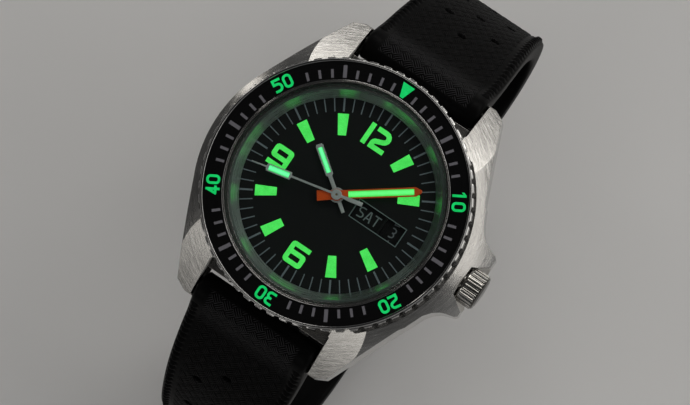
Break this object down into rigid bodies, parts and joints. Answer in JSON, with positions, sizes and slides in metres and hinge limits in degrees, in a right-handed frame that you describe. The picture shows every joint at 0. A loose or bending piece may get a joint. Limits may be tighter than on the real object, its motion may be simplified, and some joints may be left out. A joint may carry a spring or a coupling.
{
  "type": "dive watch",
  "caption": "Dive watch with a rotating minute bezel, glowing dial and hands, screw-down style crown between guards, calendar windows and an open rubber strap with a pin buckle.",
  "frame": {"origin": "middle of the case back's outer face, on the axis of the hands", "axes": "+Z out of the dial, +Y to 12 o'clock along the strap, +X to the crown at 3 o'clock"},
  "size_m": [0.0453, 0.0769, 0.064],
  "materials": {
    "case_steel": "brushed and polished",
    "bezel_steel": "polished",
    "polished_steel": "polished",
    "spring_steel": "satin",
    "gasket": "matte",
    "holder_plastic": "matte",
    "crystal": "polished",
    "dial_black": "matte",
    "print_grey": "matte",
    "print_white": "matte",
    "dial_lume": "glowing",
    "hand_lume": "glowing",
    "bezel_lume": "glowing",
    "brass": "satin",
    "board_green": "satin",
    "can_steel": "satin",
    "copper_wire": "satin",
    "blued_screws": "polished",
    "hand_silver": "polished",
    "hand_orange": "satin",
    "insert_black": "satin",
    "strap_rubber": "matte"
  },
  "bodies": {
    "case": {"mid_case": "case_steel", "case_back": "case_steel", "case_back_gasket": "gasket", "movement_ring": "holder_plastic", "crown_tube": "case_steel", "rehaut_ring": "polished_steel", "crystal": "crystal", "crystal_gasket": "gasket", "bezel_click_spring": "spring_steel", "bezel_retaining_wire": "spring_steel", "spring_bars": "polished_steel", "dial": "dial_black", "minute_track": "print_grey", "hour_markers": "dial_lume", "day_date_frame": "print_grey", "main_plate": "brass", "train_bridge": "brass", "circuit_board": "board_green", "quartz_can": "can_steel", "battery": "can_steel", "battery_strap": "spring_steel", "coil": "copper_wire", "stator": "can_steel", "movement_screws": "blued_screws"},
    "rotor": {"rotor": "can_steel"},
    "intermediate": {"intermediate_wheel": "brass"},
    "seconds": {"seconds_wheel": "brass", "seconds_hand": "hand_silver", "seconds_hand_lume": "hand_lume"},
    "third": {"third_wheel": "brass"},
    "minutes": {"cannon_wheel": "brass", "minute_hand": "hand_orange", "minute_hand_lume": "hand_lume"},
    "motion": {"minute_wheel": "brass"},
    "hours": {"hour_wheel": "brass", "hour_hand": "hand_silver", "hour_hand_lume": "hand_lume"},
    "date": {"date_disc": "dial_black", "date_print": "print_white"},
    "day": {"day_disc": "dial_black", "day_print": "print_white"},
    "crown_slide": {"setting_lever": "spring_steel"},
    "crown": {"crown": "polished_steel", "stem": "spring_steel", "crown_gasket": "gasket", "sliding_pinion": "spring_steel"},
    "bezel": {"bezel_ring": "bezel_steel", "bezel_insert": "insert_black", "bezel_marks": "print_grey", "bezel_numerals": "bezel_lume"},
    "strap_12": {"strap_buckle_half": "strap_rubber", "fixed_keeper": "strap_rubber", "buckle_bar": "polished_steel"},
    "strap_6": {"strap_tail_half": "strap_rubber"},
    "keeper": {"floating_keeper": "strap_rubber"},
    "buckle": {"buckle_frame": "polished_steel"},
    "tongue": {"buckle_tongue": "polished_steel"}
  },
  "joints": [
    {"name": "seconds_turn", "type": "hinge", "parent": "case", "child": "seconds", "pos_m": [0, 0, 0.009], "axis": [0, 0, -1], "continuous": true},
    {"name": "minutes_turn", "type": "hinge", "parent": "case", "child": "minutes", "pos_m": [0, 0, 0.009], "axis": [0, 0, -1], "continuous": true},
    {"name": "hours_turn", "type": "hinge", "parent": "case", "child": "hours", "pos_m": [0, 0, 0.009], "axis": [0, 0, -1], "continuous": true},
    {"name": "rotor_turn", "type": "hinge", "parent": "case", "child": "rotor", "pos_m": [-0.00178, -0.00489, 0.004], "axis": [0, 0, -1], "continuous": true},
    {"name": "intermediate_turn", "type": "hinge", "parent": "case", "child": "intermediate", "pos_m": [-0.00082, -0.00226, 0.004], "axis": [0, 0, -1], "continuous": true},
    {"name": "third_turn", "type": "hinge", "parent": "case", "child": "third", "pos_m": [0.00203, 0.00117, 0.004], "axis": [0, 0, -1], "continuous": true},
    {"name": "motion_turn", "type": "hinge", "parent": "case", "child": "motion", "pos_m": [-0.0026, 0.0015, 0.0078], "axis": [0, 0, -1], "continuous": true},
    {"name": "date_turn", "type": "hinge", "parent": "case", "child": "date", "pos_m": [0, 0, 0.0082], "axis": [0, 0, 1], "continuous": true},
    {"name": "day_turn", "type": "hinge", "parent": "case", "child": "day", "pos_m": [0, 0, 0.0082], "axis": [0, 0, 1], "continuous": true},
    {"name": "crown_pull", "type": "slide", "parent": "case", "child": "crown_slide", "axis": [1, 0, 0], "range_m": [0, 0.0012]},
    {"name": "crown_turn", "type": "hinge", "parent": "crown_slide", "child": "crown", "pos_m": [0.02, 0, 0.0057], "axis": [1, 0, 0], "continuous": true},
    {"name": "bezel_turn", "type": "hinge", "parent": "case", "child": "bezel", "pos_m": [0, 0, 0.01], "axis": [0, 0, 1], "continuous": true},
    {"name": "strap_12_swing", "type": "hinge", "parent": "case", "child": "strap_12", "pos_m": [0, 0.0212, 0.0028], "axis": [1, 0, 0], "range_deg": [0, 70]},
    {"name": "strap_6_swing", "type": "hinge", "parent": "case", "child": "strap_6", "pos_m": [0, -0.0212, 0.0028], "axis": [-1, 0, 0], "range_deg": [0, 70]},
    {"name": "keeper_slide", "type": "slide", "parent": "strap_12", "child": "keeper", "axis": [0, -1, 0], "range_m": [-0.0025, 0.008]},
    {"name": "buckle_swing", "type": "hinge", "parent": "strap_12", "child": "buckle", "pos_m": [0, 0.00296, -0.03065], "axis": [1, 0, 0], "range_deg": [-60, 30]},
    {"name": "tongue_swing", "type": "hinge", "parent": "buckle", "child": "tongue", "pos_m": [0, 0.00296, -0.03065], "axis": [1, 0, 0], "range_deg": [0, 70]}
  ],
  "couplings": [
    {"joint": "minutes_turn", "follows": "seconds_turn", "ratio": 0.016667},
    {"joint": "hours_turn", "follows": "seconds_turn", "ratio": 0.0013889},
    {"joint": "rotor_turn", "follows": "seconds_turn", "ratio": 30},
    {"joint": "intermediate_turn", "follows": "seconds_turn", "ratio": -5},
    {"joint": "third_turn", "follows": "seconds_turn", "ratio": -0.13333},
    {"joint": "motion_turn", "follows": "seconds_turn", "ratio": -0.0055556}
  ]
}
